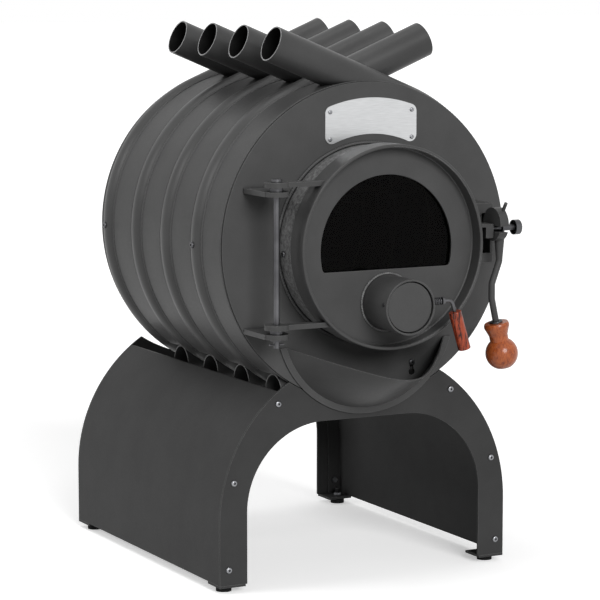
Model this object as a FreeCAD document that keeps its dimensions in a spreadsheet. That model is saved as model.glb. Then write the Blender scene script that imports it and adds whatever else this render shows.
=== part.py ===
import FreeCAD, Part
import Sketcher
import math
import os
import re

# A wood stove: a horizontal drum of eight bent air tubes with a round door, on an arched sheet-steel base.
# X points right, Y back, Z up; the origin is on the floor under the middle of the base. Sizes in mm.
V = FreeCAD.Vector
doc = FreeCAD.newDocument("stove")
sheet = doc.addObject("Spreadsheet::Sheet", "sizes")

SIZES = [
    ("base_depth", 596, "base, over both end plates"),
    ("base_half_width", 272, "base, half its width and radius of its arch"),
    ("end_plate", 4, "end plate thickness"),
    ("foot_height", 14, "floor to underside of the base"),
    ("arch_height", 114, "floor to centre of the arch"),
    ("panel_sheet", 2.5, "side panel thickness"),
    ("panel_flange", 28, "inward flange of the side panels"),
    ("panel_share", 0.794118, "side panel top above the arch centre, as a share of the arch radius"),
    ("store_half_width", 222, "wood store opening, half width"),
    ("store_top", 275, "floor to top of the wood store opening"),
    ("store_corner", 142, "corner radius of the wood store opening"),
    ("saddle_gap", 1.5, "end plate to disc edge"),
    ("tube_end_gap", 2, "lower tube ends to the panel flanges"),
    ("screw_inset", 16, "base screws from the arch edge"),
    ("top_screw_angle", 50, "upper base screw, degrees above level"),
    ("mid_screw_angle", 16, "middle base screw, degrees above level"),
    ("low_screw_rise", 26, "lower base screw above the base underside"),
    ("screw_radius", 3, "base screw shank radius"),
    ("screw_play", 0.3, "clearance around screw shanks"),
    ("head_radius", 5.4, "button head radius"),
    ("head_height", 3.3, "button head height"),
    ("socket_radius", 2.27, "hexagon socket radius across corners"),
    ("socket_depth", 1.98, "hexagon socket depth"),
    ("head_round", 2.475, "rounding of a button head"),
    ("nut_radius", 5.8, "nut radius across corners"),
    ("nut_height", 5, "nut height"),
    ("foot_radius", 13, "foot pad radius"),
    ("foot_pad", 7, "foot pad height"),
    ("stud_radius", 4, "foot stud radius"),
    ("stud_length", 21, "foot stud length"),
    ("stud_nut_radius", 7.4, "foot nut radius across corners"),
    ("foot_inset", 20, "foot centre from the outline, sideways"),
    ("foot_setback", 28, "foot centre from the end plate face"),
    ("bracket_size", 47, "foot bracket side"),
    ("bracket_sheet", 4, "foot bracket thickness"),
    ("rail_height", 20, "cross rail height and width"),
    ("rail_sheet", 3, "cross rail thickness"),
    ("front_rail_setback", 98, "front plane to front cross rail"),
    ("rail_spacing", 300, "cross rail to cross rail"),
    ("saddle_bridge", 27.5, "end plate left between the wood store and the drum"),
    ("disc_radius", 266, "front and rear disc radius"),
    ("disc_sheet", 4, "disc thickness"),
    ("weld_gap", 0.1, "gap between welded tubes and discs"),
    ("tube_radius", 30, "air tube outer radius"),
    ("tube_wall", 2, "air tube wall"),
    ("tube_gap", 0.2, "gap between neighbouring tubes"),
    ("bend_radius", 245, "tube centre line bend radius"),
    ("rise_angle", 22.3, "upper tube ends, degrees above level"),
    ("upper_run", 273, "straight upper run of a tube"),
    ("lower_run", 156, "straight lower run of a tube"),
    ("strip_rise", 23, "wall strip outer face above the tube centre line"),
    ("strip_sheet", 3, "wall strip thickness"),
    ("strip_gap", 0.3, "wall strip to tube"),
    ("neck_radius", 163, "door neck outer radius"),
    ("neck_sheet", 4, "door neck thickness"),
    ("neck_reach", 57, "disc face to neck edge"),
    ("neck_screw_reach", 17, "disc face to the screw on the neck"),
    ("neck_screw_angle", 3.5, "screw on the neck, degrees below level"),
    ("flue_radius", 60, "flue spigot outer radius"),
    ("flue_sheet", 2, "flue spigot wall"),
    ("flue_length", 95, "flue spigot length"),
    ("flue_rise", 130, "flue spigot above the drum axis"),
    ("baffle_rise", 55, "baffle underside above the drum axis"),
    ("baffle_half_width", 190, "baffle half width"),
    ("baffle_depth", 240, "baffle depth"),
    ("baffle_sheet", 5, "baffle thickness"),
    ("baffle_gap", 12, "baffle to rear disc"),
    ("ledge_height", 25, "baffle ledge height"),
    ("ledge_sheet", 8, "baffle ledge thickness"),
    ("ledge_place", 150, "baffle ledge from the middle"),
    ("lip_radius", 160, "ash lip radius at the disc"),
    ("lip_flange", 9, "ash lip flange on the disc"),
    ("lip_drop", 119, "ash lip centre below the drum axis at the disc"),
    ("lip_reach", 165, "ash lip reach"),
    ("lip_nose_radius", 48, "ash lip radius at its nose"),
    ("lip_nose_drop", 159, "ash lip centre below the drum axis at its nose"),
    ("lip_sheet", 3, "ash lip thickness"),
    ("lip_edge_drop", 167, "ash lip edge below the drum axis at the disc"),
    ("lip_edge_angle", 15.5, "ash lip edge, degrees down to the front"),
    ("label_radius", 240, "nameplate top edge radius"),
    ("label_height", 60, "nameplate height"),
    ("label_half_width", 86, "nameplate half width"),
    ("label_shift", 8, "nameplate middle, right of the drum axis"),
    ("label_sheet", 1.5, "nameplate thickness"),
    ("label_corner", 12, "nameplate corner radius"),
    ("rivet_radius", 3.5, "rivet head radius"),
    ("rivet_height", 2.1, "rivet head height"),
    ("rivet_round", 1.4, "rounding of a rivet head"),
    ("rivet_inset", 9, "rivet from the nameplate side"),
    ("pin_place", 206, "hinge pin left of the drum axis"),
    ("pin_reach", 76, "disc face to hinge pin"),
    ("pin_radius", 5, "hinge pin radius"),
    ("pin_play", 0.06, "door arm bore over hinge pin, radial"),
    ("pin_head_radius", 9, "hinge pin head radius"),
    ("pin_head", 5, "hinge pin head height"),
    ("eye_radius", 20, "hinge eye radius"),
    ("lug_width", 44, "hinge lug width"),
    ("lug_sheet", 8, "hinge lug thickness"),
    ("upper_lug", 91, "upper hinge lug underside above the drum axis"),
    ("lower_lug", 139, "lower hinge lug underside below the drum axis"),
    ("spacer_radius", 11, "hinge spacer radius"),
    ("spacer_height", 6.5, "hinge spacer height"),
    ("running_gap", 0.3, "gap between moving faces"),
    ("arm_sheet", 8, "door arm thickness"),
    ("arm_width", 18, "door arm width"),
    ("arm_reach", 70, "disc face to door arm"),
    ("washer_radius", 10, "hinge washer radius"),
    ("washer_sheet", 3, "hinge washer thickness"),
    ("pin_tail", 12, "hinge pin below its washer"),
    ("cotter_radius", 1.5, "cotter pin radius"),
    ("cotter_length", 26, "cotter pin length"),
    ("disc_screw_place", 226, "screw on the disc, from the drum axis"),
    ("disc_screw_angle", 23, "screw on the disc, degrees right of straight down"),
    ("keyhole_radius", 6, "keyhole below the screw on the disc, radius of its round end"),
    ("keyhole_slot", 8, "keyhole slot width"),
    ("keyhole_drop", 16, "screw on the disc to the round end of the keyhole"),
    ("door_radius", 169, "door outer radius"),
    ("door_rim", 5.5, "door rim width"),
    ("door_play", 2.6, "door wall around the neck"),
    ("door_back", 53, "disc face to back edge of the door"),
    ("door_face", 66, "disc face to back of the door face"),
    ("door_sheet", 4, "door face thickness"),
    ("door_front", 96, "disc face to door rim"),
    ("rim_round", 2, "rounding of the door rim"),
    ("seal_width", 7, "door seal width"),
    ("window_radius", 123, "window arc radius"),
    ("window_shift", 5, "window arc centre below the drum axis"),
    ("window_drop", 33, "window bottom below the arc centre"),
    ("window_corner", 7, "window corner radius"),
    ("glass_lap", 8, "glass behind the door face"),
    ("glass_sheet", 4, "glass thickness"),
    ("gasket_sheet", 2, "glass gasket thickness"),
    ("clip_sheet", 2, "glass clip thickness"),
    ("clip_width", 14, "glass clip width"),
    ("clip_foot", 10, "glass clip foot"),
    ("clip_lap", 6, "glass clip over the glass"),
    ("clip_play", 0.5, "glass clip to the edge of the glass"),
    ("clip_screw_radius", 2, "clip screw shank radius"),
    ("clip_head_radius", 3.6, "clip screw head radius"),
    ("clip_head_height", 2, "clip screw head height"),
    ("clip_head_round", 1.5, "rounding of a clip screw head"),
    ("clip_socket_radius", 1.5, "clip screw socket radius across corners"),
    ("clip_socket_depth", 1.2, "clip screw socket depth"),
    ("intake_radius", 45.5, "air intake outer radius"),
    ("intake_wall", 3, "air intake wall"),
    ("intake_drop", 92, "air intake below the drum axis"),
    ("intake_reach", 150, "disc face to air intake mouth"),
    ("shaft_radius", 3, "throttle shaft radius"),
    ("shaft_play", 0.06, "shaft bore, radial"),
    ("shaft_rise", 6, "throttle shaft above the intake centre"),
    ("shaft_setback", 9, "intake mouth to throttle shaft"),
    ("shaft_end", 46.5, "throttle shaft left of the intake centre"),
    ("lever_place", 82, "lever bend right of the intake centre"),
    ("lever_bend", 10, "lever bend radius"),
    ("lever_angle", 17, "lever, degrees out of plumb"),
    ("lever_length", 84, "lever length from its bend"),
    ("throttle_radius", 40.3, "throttle disc radius"),
    ("throttle_sheet", 3, "throttle disc thickness"),
    ("grip_radius", 10.5, "lever grip radius"),
    ("grip_length", 66, "lever grip length"),
    ("grip_start", 20, "lever grip from the bend"),
    ("grip_round", 1.5, "rounding of the lever grip"),
    ("spring_radius", 5.4, "spring mean radius"),
    ("spring_wire", 0.8, "spring wire radius"),
    ("spring_length", 15, "spring length between wire centres"),
    ("spring_turns", 4.5, "spring turns"),
    ("spring_start", 1.4, "intake wall to the first wire centre"),
    ("stop_radius", 6.5, "spring stop radius"),
    ("stop_length", 4, "spring stop length"),
    ("pivot_rise", 22, "handle pivot above the drum axis"),
    ("pivot_reach", 88, "disc face to handle pivot"),
    ("pivot_radius", 5, "handle pivot bolt radius"),
    ("pivot_start", 176, "pivot bolt inner end"),
    ("pivot_head_place", 231.5, "pivot bolt head"),
    ("pivot_head_radius", 12.5, "pivot bolt head radius"),
    ("pivot_head", 10.5, "pivot bolt head length"),
    ("pivot_wall", 2.5, "pivot bolt head, wall of its hollow"),
    ("pivot_collar", 9, "pivot bolt collar radius"),
    ("collar_length", 3, "pivot bolt collar length"),
    ("bracket_end", 189, "latch bracket outer face"),
    ("latch_height", 23.5, "latch bracket height"),
    ("latch_drop", 15.5, "latch bracket below the pivot"),
    ("latch_width", 14, "latch bracket width"),
    ("latch_arm", 5, "latch bracket arm thickness"),
    ("latch_depth", 26, "latch bracket depth"),
    ("latch_back", 69, "disc face to latch bracket"),
    ("boss_radius", 28, "handle disc radius"),
    ("boss_length", 16, "handle disc thickness"),
    ("boss_rise", 7, "handle disc centre above the pivot"),
    ("boss_gap", 1, "latch bracket to handle disc"),
    ("finger_width", 8, "latch finger width"),
    ("finger_height", 10, "latch finger height"),
    ("finger_length", 55, "latch finger length"),
    ("hook_height", 30, "latch hook above the pivot"),
    ("hook_depth", 9, "latch hook depth"),
    ("handle_radius", 5.5, "handle rod radius"),
    ("handle_place", 205, "handle rod at its disc"),
    ("handle_root_radius", 8.5, "handle rod radius at its disc"),
    ("handle_root", 52, "handle pivot to the end of the thick rod"),
    ("handle_start", 16, "handle pivot to the upper end of the rod"),
    ("handle_step", 14, "inward step of the handle rod"),
    ("handle_bend", 16, "handle rod bend radius"),
    ("handle_upper", 55, "handle rod, upper straight"),
    ("handle_slope", 38, "handle rod, height of its step"),
    ("handle_lower", 25, "handle rod, lower straight"),
    ("knob_angle", 12.4, "handle grip, degrees out of plumb"),
    ("handle_tail", 42, "handle rod from the lower bend to the grip"),
    ("knob_bore", 32, "handle rod inside the grip"),
    ("knob_radius", 27.5, "handle grip radius"),
    ("knob_length", 78, "handle grip length"),
    ("knob_top_radius", 19.8, "handle grip, radius of its top bead"),
    ("knob_bead", 11, "handle grip, height of its top bead"),
    ("knob_bulge", 1.6, "handle grip, swell of its top bead"),
    ("knob_waist", 15.8, "handle grip, radius of its waist"),
    ("knob_waist_drop", 22, "handle grip, top to waist"),
    ("knob_end_radius", 13, "handle grip, radius of its flat end"),
    ("ferrule_radius", 11, "handle ferrule radius"),
    ("ferrule_length", 3, "handle ferrule length"),
    ("ferrule_round", 1, "rounding of the ferrule"),
    ("stop_pin_radius", 3, "handle stop pin radius"),
    ("stop_pin_place", 12, "handle stop pin from the inner face of the disc"),
    ("stop_pin_angle", 34, "handle stop pin, degrees forward of plumb"),
    ("stop_pin_length", 16, "handle stop pin length"),
    ("keeper_reach", 49, "disc face to keeper plate face"),
    ("keeper_end", 216, "keeper plate outer edge"),
    ("keeper_sheet", 6, "keeper plate thickness"),
    ("shelf_sheet", 4, "keeper walls back to the disc, thickness"),
    ("keeper_top", 60, "keeper plate top above the drum axis"),
    ("keeper_height", 100, "keeper plate height"),
    ("slot_width", 24, "keeper slot width"),
    ("slot_play", 3, "keeper slot inside the latch finger"),
    ("slot_top", 44, "keeper slot top above the drum axis"),
    ("slot_height", 68, "keeper slot height"),
]
for row, (alias, value, words) in enumerate(SIZES, 1):
    sheet.set("A%d" % row, words)
    sheet.set("B%d" % row, str(value))
    sheet.setAlias("B%d" % row, alias)
doc.recompute()
size = {alias: float(sheet.get(alias)) for alias, value, words in SIZES}
ALIASES = re.compile(r"\b(" + "|".join(size) + r")\b")

FRONT = "-base_depth / 2"
AXIS = "(store_top + saddle_bridge + saddle_gap + disc_radius)"
axis_height = size["store_top"] + size["saddle_bridge"] + size["saddle_gap"] + size["disc_radius"]
TURN_TO_Y = FreeCAD.Rotation(V(1, 0, 0), -90)
TURN_TO_X = FreeCAD.Rotation(V(0, 1, 0), 90)
ROUNDED_SHARE = 0.9
pieces = []
counter = [0]


def bound(text):
    return ALIASES.sub(r"sizes.\1", str(text))


def unique(stem):
    counter[0] += 1
    return "%s_%d" % (stem, counter[0])


def place(item, x, y, z, turn=FreeCAD.Rotation()):
    item.Placement = FreeCAD.Placement(V(0, 0, 0), turn)
    for axis, text in zip("xyz", (x, y, z)):
        item.setExpression("Placement.Base." + axis, bound(text))
    return item


def solid(kind, stem, x, y, z, turn=FreeCAD.Rotation(), **lengths):
    item = doc.addObject(kind, unique(stem))
    for name, text in lengths.items():
        item.setExpression(name, bound(text))
    return place(item, x, y, z, turn)


def box(x, y, z, length, width, height):
    return solid("Part::Box", "block", x, y, z, Length=length, Width=width, Height=height)


def rod(axis, x, y, z, radius, length):
    turns = {"x": TURN_TO_X, "y": TURN_TO_Y, "z": FreeCAD.Rotation()}
    return solid("Part::Cylinder", "rod", x, y, z, turns[axis], Radius=radius, Height=length)


def join(*items):
    item = doc.addObject("Part::MultiFuse", unique("join"))
    item.Shapes = list(items)
    return item


def overlap(*items):
    item = doc.addObject("Part::MultiCommon", unique("overlap"))
    item.Shapes = list(items)
    return item


def cut(base, *tools):
    item = doc.addObject("Part::Cut", unique("cut"))
    item.Base = base
    item.Tool = tools[0] if len(tools) == 1 else join(*tools)
    return item


def together(items):
    item = doc.addObject("Part::Compound", unique("together"))
    item.Links = list(items)
    return item


def pipe(axis, x, y, z, outer, inner, length):
    return cut(rod(axis, x, y, z, outer, length), rod(axis, x, y, z, inner, length))


def keep(label, item):
    item.Label = label
    pieces.append(item)
    return item


def sketch_on(body, role, geometry):
    drawing = body.newObject("Sketcher::SketchObject", unique("sketch"))
    plane = [item for item in body.Origin.OriginFeatures if item.Role == role][0]
    drawing.AttachmentSupport = [(plane, "")]
    drawing.MapMode = "FlatFace"
    drawing.addGeometry(geometry, False)
    return drawing


def new_body(stem):
    return doc.addObject("PartDesign::Body", unique(stem))


def padded(role, geometry, length, x, y, z):
    body = new_body("plate")
    pad = body.newObject("PartDesign::Pad", unique("pad"))
    pad.Profile = sketch_on(body, role, geometry)
    pad.setExpression("Length", bound(length))
    body.Tip = pad
    return place(body, x, y, z)


def turned(role, geometry, x, y, z, turn=FreeCAD.Rotation()):
    body = new_body("turned")
    drawing = sketch_on(body, role, geometry)
    revolution = body.newObject("PartDesign::Revolution", unique("revolution"))
    revolution.Profile = drawing
    revolution.ReferenceAxis = (drawing, ["V_Axis"])
    revolution.Angle = 360
    body.Tip = revolution
    return place(body, x, y, z, turn)


def swept(role, rings, path, x, y, z):
    body = new_body("swept")
    spine = sketch_on(body, "XZ_Plane", path)
    start = size["tube_radius"]
    section = sketch_on(body, role, [Part.Circle(V(0, 0, 0), V(0, 0, 1), start / (number + 1))
                                     for number in range(len(rings))])
    for number, radius in enumerate(rings):
        section.addConstraint(Sketcher.Constraint("Coincident", number, 3, -1, 1))
        index = section.addConstraint(Sketcher.Constraint("Radius", number, start / (number + 1)))
        section.setExpression("Constraints[%d]" % index, bound(radius))
    sweep = body.newObject("PartDesign::AdditivePipe", unique("sweep"))
    sweep.Profile = section
    sweep.Spine = (spine, ["Edge%d" % (number + 1) for number in range(len(path))])
    body.Tip = sweep
    return place(body, x, y, z)


def line(start, end):
    return Part.LineSegment(V(start[0], start[1], 0), V(end[0], end[1], 0))


def arc(start, middle, end):
    return Part.Arc(V(start[0], start[1], 0), V(middle[0], middle[1], 0), V(end[0], end[1], 0))


def rounded(corners, closed):
    """Lines through the corners (x, y, radius), with an arc at each corner that has a radius."""
    entries = []
    count = len(corners)
    for index, (x, y, radius) in enumerate(corners):
        here = V(x, y, 0)
        if radius == 0 or (not closed and index in (0, count - 1)):
            entries.append((here, None, here))
            continue
        before = (V(*corners[index - 1][:2], 0) - here).normalize()
        after = (V(*corners[(index + 1) % count][:2], 0) - here).normalize()
        half = before.getAngle(after) / 2
        run = radius / math.tan(half)
        inward = (before + after).normalize()
        middle = here + inward * (radius / math.sin(half) - radius)
        entries.append((here + before * run, middle, here + after * run))
    geometry = []
    for index, (first, middle, last) in enumerate(entries):
        if middle is not None:
            geometry.append(Part.Arc(first, middle, last))
        if closed or index < count - 1:
            geometry.append(Part.LineSegment(last, entries[(index + 1) % count][0]))
    return geometry


def ahead(reach):
    return "%s - (%s)" % (FRONT, reach)


def above(rise):
    return "%s + (%s)" % (AXIS, rise)


def grouped(label, shape, spots):
    """One node of separate, identical solids; each spot is a placement."""
    copies = []
    for spot in spots:
        copy = shape.copy()
        copy.Placement = spot.multiply(copy.Placement)
        copies.append(copy)
    item = doc.addObject("Part::Feature", unique("group"))
    item.Shape = Part.makeCompound(copies)
    return keep(label, item)


def hexagon(radius):
    return [V(radius * math.cos(math.radians(60 * step)), radius * math.sin(math.radians(60 * step)), 0)
            for step in range(7)]


def domed(radius, height, rounding):
    """Low cylinder whose upper edge is rounded, over less than its height and its radius."""
    rounding = min(rounding, ROUNDED_SHARE * height, ROUNDED_SHARE * radius)
    corners = [(0, 0, 0), (radius, 0, 0), (radius, height, rounding), (0, height, 0)]
    profile = Part.Wire([edge.toShape() for edge in rounded(corners, True)])
    profile.rotate(V(0, 0, 0), V(1, 0, 0), 90)
    return Part.Face(profile).revolve(V(0, 0, 0), V(0, 0, 1), 360)


def button_screw(prefix, shank, length):
    """Round-headed screw standing on its seat at z = 0, its shank hanging below, with a hexagon socket."""
    height = size[prefix + "head_height"]
    head = domed(size[prefix + "head_radius"], height, size[prefix + "head_round"])
    socket = Part.Face(Part.makePolygon(hexagon(size[prefix + "socket_radius"]))).extrude(V(0, 0, height))
    socket.translate(V(0, 0, height - size[prefix + "socket_depth"]))
    head = head.cut(socket)
    if length > 0:
        head = head.fuse(Part.makeCylinder(shank, length, V(0, 0, -length))).removeSplitter()
    return head


def hexagon_nut(radius, bore, height):
    nut = Part.Face(Part.makePolygon(hexagon(radius))).extrude(V(0, 0, height))
    return nut.cut(Part.makeCylinder(bore, height))


# The arched base: an outline with upright sides and a round top, taken at several radii.
def arch(radius, y, length):
    upper = overlap(rod("y", 0, y, "arch_height", radius, length),
                    box("-(%s)" % radius, y, "arch_height", "2 * (%s)" % radius, length, radius))
    lower = box("-(%s)" % radius, y, "foot_height", "2 * (%s)" % radius, length, "arch_height - foot_height")
    return join(upper, lower)


SCREW_RING = "base_half_width - screw_inset"
SCREW_SPOTS = [
    ("(%s) * cos(top_screw_angle * 1deg)" % SCREW_RING,
     "arch_height + (%s) * sin(top_screw_angle * 1deg)" % SCREW_RING),
    ("(%s) * cos(mid_screw_angle * 1deg)" % SCREW_RING,
     "arch_height + (%s) * sin(mid_screw_angle * 1deg)" % SCREW_RING),
    (SCREW_RING, "foot_height + low_screw_rise"),
]


def screw_holes(y, length):
    holes = []
    for across, height in SCREW_SPOTS:
        for sign in ("-", ""):
            holes.append(rod("y", "%s(%s)" % (sign, across), y, height, "screw_radius + screw_play", length))
    return holes


def store_opening(y, length):
    inner = "store_half_width - store_corner"
    spring = "store_top - store_corner"
    tall = box("-(%s)" % inner, y, 0, "2 * (%s)" % inner, length, "store_top")
    wide = box("-store_half_width", y, 0, "2 * store_half_width", length, spring)
    corners = [rod("y", "%s(%s)" % (sign, inner), y, spring, "store_corner", length) for sign in ("-", "")]
    return join(tall, wide, *corners)


for label, y in (("base_front_plate", FRONT), ("base_rear_plate", "base_depth / 2 - end_plate")):
    saddle = rod("y", 0, y, AXIS, "disc_radius + saddle_gap", "end_plate")
    plate = arch("base_half_width", y, "end_plate")
    keep(label, cut(plate, store_opening(y, "end_plate"), saddle, *screw_holes(y, "end_plate")))

# Side panels: rolled sheet between the end plates, with flanges for the screws.
PANEL_START = FRONT + " + end_plate"
PANEL_LENGTH = "base_depth - 2 * end_plate"
skin = cut(arch("base_half_width", PANEL_START, PANEL_LENGTH),
           arch("base_half_width - panel_sheet", PANEL_START, PANEL_LENGTH))
flanges = []
for y in (PANEL_START, "base_depth / 2 - end_plate - panel_sheet"):
    band = cut(arch("base_half_width - panel_sheet", y, "panel_sheet"),
               arch("base_half_width - panel_flange", y, "panel_sheet"))
    ends = box("-lower_run - tube_end_gap", y, 0, "2 * (lower_run + tube_end_gap)", "panel_sheet",
               AXIS)
    flanges.append(cut(band, ends, *screw_holes(y, "panel_sheet")))
shell = join(skin, *flanges)
for label, x in (("base_left_panel", "-2 * base_half_width"), ("base_right_panel", 0)):
    half = box(x, "-base_depth", 0, "2 * base_half_width", "2 * base_depth",
               "arch_height + panel_share * base_half_width")
    keep(label, overlap(shell, half))

# Cross rails: angle steel between the panels, on which the tubes of the drum rest.
RAIL_TOP = AXIS + " - bend_radius - tube_radius"
rails = []
for index in range(2):
    y = "%s + front_rail_setback + %d * rail_spacing" % (FRONT, index)
    width = "2 * base_half_width"
    ledge = box("-base_half_width", y, RAIL_TOP + " - rail_sheet", width, "rail_height", "rail_sheet")
    web = box("-base_half_width", y, RAIL_TOP + " - rail_height", width, "rail_sheet", "rail_height")
    inside = arch("base_half_width - panel_sheet", y, "rail_height")
    rails.append(overlap(join(ledge, web), inside))
keep("cross_rails", together(rails))

# Fasteners of the base.
ring_radius = size["base_half_width"] - size["screw_inset"]
ring_spots = []
for angle in (size["top_screw_angle"], size["mid_screw_angle"]):
    ring_spots.append((ring_radius * math.cos(math.radians(angle)),
                       size["arch_height"] + ring_radius * math.sin(math.radians(angle))))
ring_spots.append((ring_radius, size["foot_height"] + size["low_screw_rise"]))
plate_y = size["base_depth"] / 2
clamped = size["end_plate"] + size["panel_sheet"]
screw_spots = []
nut_spots = []
for side in (-1, 1):
    outward = FreeCAD.Rotation(V(1, 0, 0), -90 * side)
    for across, height in ring_spots:
        for x in (-across, across):
            screw_spots.append(FreeCAD.Placement(V(x, side * plate_y, height), outward))
            nut_spots.append(FreeCAD.Placement(V(x, side * (plate_y - clamped), height),
                                               FreeCAD.Rotation(V(1, 0, 0), 90 * side)))
grouped("base_screws", button_screw("", size["screw_radius"], clamped + size["nut_height"]), screw_spots)
grouped("base_nuts", hexagon_nut(size["nut_radius"], size["screw_radius"], size["nut_height"]), nut_spots)

# Feet: a corner bracket, a pad on a threaded stud, and a lock nut.
FOOT_X = "base_half_width - foot_inset"
FOOT_Y = "base_depth / 2 - foot_setback"
foot_nuts = []
brackets = []
feet = []
for x_sign, y_sign in (("-", "-"), ("", "-"), ("-", ""), ("", "")):
    x = "%s(%s)" % (x_sign, FOOT_X)
    y = "%s(%s)" % (y_sign, FOOT_Y)
    corner_x = "-base_half_width" if x_sign else "base_half_width - bracket_size"
    corner_y = FRONT if y_sign else "base_depth / 2 - bracket_size"
    bracket = box(corner_x, corner_y, "foot_height - bracket_sheet", "bracket_size", "bracket_size",
                  "bracket_sheet")
    hole = rod("z", x, y, "foot_height - bracket_sheet", "stud_radius", "bracket_sheet")
    brackets.append(cut(bracket, hole))
    pad = rod("z", x, y, 0, "foot_radius", "foot_pad")
    feet.append(join(pad, rod("z", x, y, 0, "stud_radius", "foot_pad + stud_length")))
    foot_nuts.append(FreeCAD.Placement(
        V((-1 if x_sign else 1) * (size["base_half_width"] - size["foot_inset"]),
          (-1 if y_sign else 1) * (size["base_depth"] / 2 - size["foot_setback"]), size["foot_height"]),
        FreeCAD.Rotation()))
keep("foot_brackets", together(brackets))
keep("levelling_feet", together(feet))
grouped("foot_nuts", hexagon_nut(size["stud_nut_radius"], size["stud_radius"], size["nut_height"]), foot_nuts)

# Air tubes: level at the bottom, three quarters round the drum, and out at the top on the other side.
PITCH = "2 * tube_radius + tube_gap"
FIRST_TUBE = FRONT + " + disc_sheet + weld_gap + tube_radius"
SIDES = {"left": 1, "right": -1}
TUBES = 4


def tube_depth(side, index):
    return "%s + %d * (%s)" % (FIRST_TUBE, 2 * index + (side == "right"), PITCH)


def tube_path(sign):
    bend = size["bend_radius"]
    end_angle = math.radians(90 - size["rise_angle"])
    centre = V(sign * size["lower_run"], bend, 0)
    out = centre + V(sign * bend * math.cos(end_angle), bend * math.sin(end_angle), 0)
    far = centre + V(sign * bend, 0, 0)
    tip = out + V(-sign * math.sin(end_angle), math.cos(end_angle), 0) * size["upper_run"]
    start = V(sign * size["lower_run"], 0, 0)
    return [Part.LineSegment(V(0, 0, 0), start), Part.Arc(start, far, out), Part.LineSegment(out, tip)]


for index in range(TUBES):
    for side, sign in SIDES.items():
        body = swept("YZ_Plane", ["tube_radius", "tube_radius - tube_wall"], tube_path(sign),
                     "%d * lower_run" % -sign, tube_depth(side, index), above("-bend_radius"))
        keep("%s_tube_%d" % (side, index + 1), body)

# Wall strips: rolled bands that close the wall between the tubes, on the side where the other tubes bend.
LAP = "sqrt(tube_radius ^ 2 - (strip_rise - strip_sheet) ^ 2) + strip_gap"
STRIP_RADIUS = "(bend_radius + strip_rise)"


def run_tool(side, y, extra):
    """The straight upper run of a tube as a plain rod."""
    sign = SIDES[side]
    angle = size["rise_angle"]
    turn = FreeCAD.Rotation(V(0, 1, 0), sign * (angle - 90))
    x = "%d * bend_radius * sin(rise_angle * 1deg)" % sign
    z = above("bend_radius * cos(rise_angle * 1deg)")
    return solid("Part::Cylinder", "run", x, y, z, turn, Radius="tube_radius + " + extra, Height="upper_run")


def strip(label, side, index, start, length, neighbours):
    """A band of the drum wall on the side that this tube leaves free; side is where the band lies."""
    band = pipe("y", 0, start, AXIS, STRIP_RADIUS, STRIP_RADIUS + " - strip_sheet", length)
    x = "-" + STRIP_RADIUS if side == "left" else "0"
    low = above("tube_radius + strip_gap - bend_radius")
    window = box(x, start, low, STRIP_RADIUS, length, STRIP_RADIUS + " + bend_radius")
    tools = [run_tool(side, tube_depth(side, index), "strip_gap")]
    for other, number in neighbours:
        tools.append(run_tool(other, tube_depth(other, number), "strip_gap"))
    sign = SIDES[side]
    beyond = doc.addObject("Part::Box", unique("beyond"))
    reach = 4 * size["bend_radius"]
    beyond.Length = reach
    beyond.Width = reach
    beyond.Height = reach
    turn = FreeCAD.Rotation(V(0, 1, 0), sign * size["rise_angle"])
    level = turn.multVec(V(-reach / 2, 0, size["bend_radius"]))
    beyond.Placement = FreeCAD.Placement(V(0, -reach / 2, axis_height) + level, turn)
    keep(label, cut(overlap(band, window), *tools, beyond))


for index in range(TUBES):
    if index == 0:
        start = FRONT + " + disc_sheet + weld_gap"
        length = "(%s) - (%s) - (%s)" % (tube_depth("right", 0), start, LAP)
        near = [("right", 0)]
    else:
        start = "%s + %s" % (tube_depth("right", index - 1), LAP)
        length = "2 * (%s) - 2 * (%s)" % (PITCH, LAP)
        near = [("right", index - 1), ("right", index)]
    strip("left_strip_%d" % (index + 1), "left", index, start, length, near)
    start = "%s + %s" % (tube_depth("left", index), LAP)
    if index == TUBES - 1:
        length = "(%s) + tube_radius - (%s)" % (tube_depth("right", index), start)
        near = [("left", index)]
    else:
        length = "2 * (%s) - 2 * (%s)" % (PITCH, LAP)
        near = [("left", index), ("left", index + 1)]
    strip("right_strip_%d" % (index + 1), "right", index, start, length, near)

# Discs that close the drum, the neck for the door, and the flue spigot.
REAR = "%s + tube_radius + weld_gap" % tube_depth("right", TUBES - 1)
KEY_X = "disc_screw_place * sin(disc_screw_angle * 1deg)"
KEY_Z = above("-disc_screw_place * cos(disc_screw_angle * 1deg) - keyhole_drop")
round_end = rod("y", KEY_X, FRONT, KEY_Z, "keyhole_radius", "disc_sheet")
slot = box(KEY_X + " - keyhole_slot / 2", FRONT, KEY_Z, "keyhole_slot", "disc_sheet", "keyhole_drop")
disc = pipe("y", 0, FRONT, AXIS, "disc_radius", "neck_radius", "disc_sheet")
keep("front_disc", cut(disc, round_end, slot))
flue_hole = rod("y", 0, REAR, above("flue_rise"), "flue_radius - flue_sheet", "disc_sheet")
keep("rear_disc", cut(rod("y", 0, REAR, AXIS, "disc_radius", "disc_sheet"), flue_hole))
keep("flue_spigot", pipe("y", 0, REAR + " + disc_sheet", above("flue_rise"), "flue_radius",
                         "flue_radius - flue_sheet", "flue_length"))
keep("door_neck", pipe("y", 0, ahead("neck_reach"), AXIS, "neck_radius", "neck_radius - neck_sheet",
                       "neck_reach + disc_sheet"))

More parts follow.
